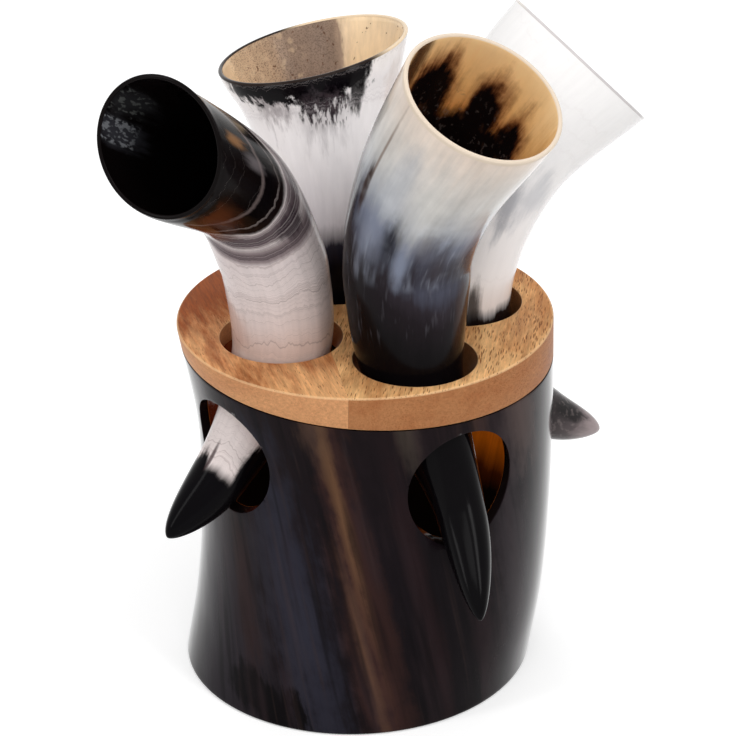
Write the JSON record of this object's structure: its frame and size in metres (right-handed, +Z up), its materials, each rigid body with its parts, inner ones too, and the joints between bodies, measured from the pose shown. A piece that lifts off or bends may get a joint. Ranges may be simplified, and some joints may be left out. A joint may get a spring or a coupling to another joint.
{
  "type": "drinking horn set with stand",
  "caption": "Curved drinking horns standing in the round holes of a wood-lidded stand cut from a wide section of polished horn, with their tips poking out of holes in its wall.",
  "frame": {"origin": "middle of the stand's underside", "axes": "+Z up out of the stand, -Y towards the viewer of the picture, +X to the viewer's right"},
  "size_m": [0.1353, 0.1281, 0.1896],
  "materials": {
    "dark_horn": "polished near-black horn with brown and blue-grey streaks",
    "foot_wood": "plain sawn wood",
    "tan_wood": "satin pinkish-tan wood with fine grain",
    "golden_wood": "satin golden wood with short dark pores",
    "white_horn": "polished white horn with grey smudges and a charcoal tip",
    "streaked_horn": "polished white horn with a black streaked band under the rim",
    "banded_horn": "polished horn, dark and banded at the mouth, ivory below, black tip",
    "slate_horn": "polished horn, cream at the mouth, slate grey to black below"
  },
  "bodies": {
    "stand": {"horn_shell": "dark_horn", "foot_disc": "foot_wood", "lid_plank_left": "tan_wood", "lid_plank_right": "golden_wood"},
    "right_cup": {"horn_right": "white_horn"},
    "back_cup": {"horn_back": "streaked_horn"},
    "left_cup": {"horn_left": "banded_horn"},
    "front_cup": {"horn_front": "slate_horn"}
  },
  "joints": [
    {"name": "right_lift", "type": "hinge", "parent": "stand", "child": "right_cup", "pos_m": [0.0892, 0.0303, 0.115], "axis": [-0.342, 0.9397, 0], "range_deg": [0, 58]},
    {"name": "back_lift", "type": "hinge", "parent": "stand", "child": "back_cup", "pos_m": [-0.0307, 0.072, 0.105], "axis": [-0.9063, -0.4226, 0], "range_deg": [0, 70]},
    {"name": "left_lift", "type": "hinge", "parent": "stand", "child": "left_cup", "pos_m": [-0.0543, -0.0586, 0.105], "axis": [0.7771, -0.6293, 0], "range_deg": [0, 67]},
    {"name": "front_lift", "type": "hinge", "parent": "stand", "child": "front_cup", "pos_m": [0.0605, -0.0977, 0.105], "axis": [0.8387, 0.5446, 0], "range_deg": [0, 52]}
  ]
}
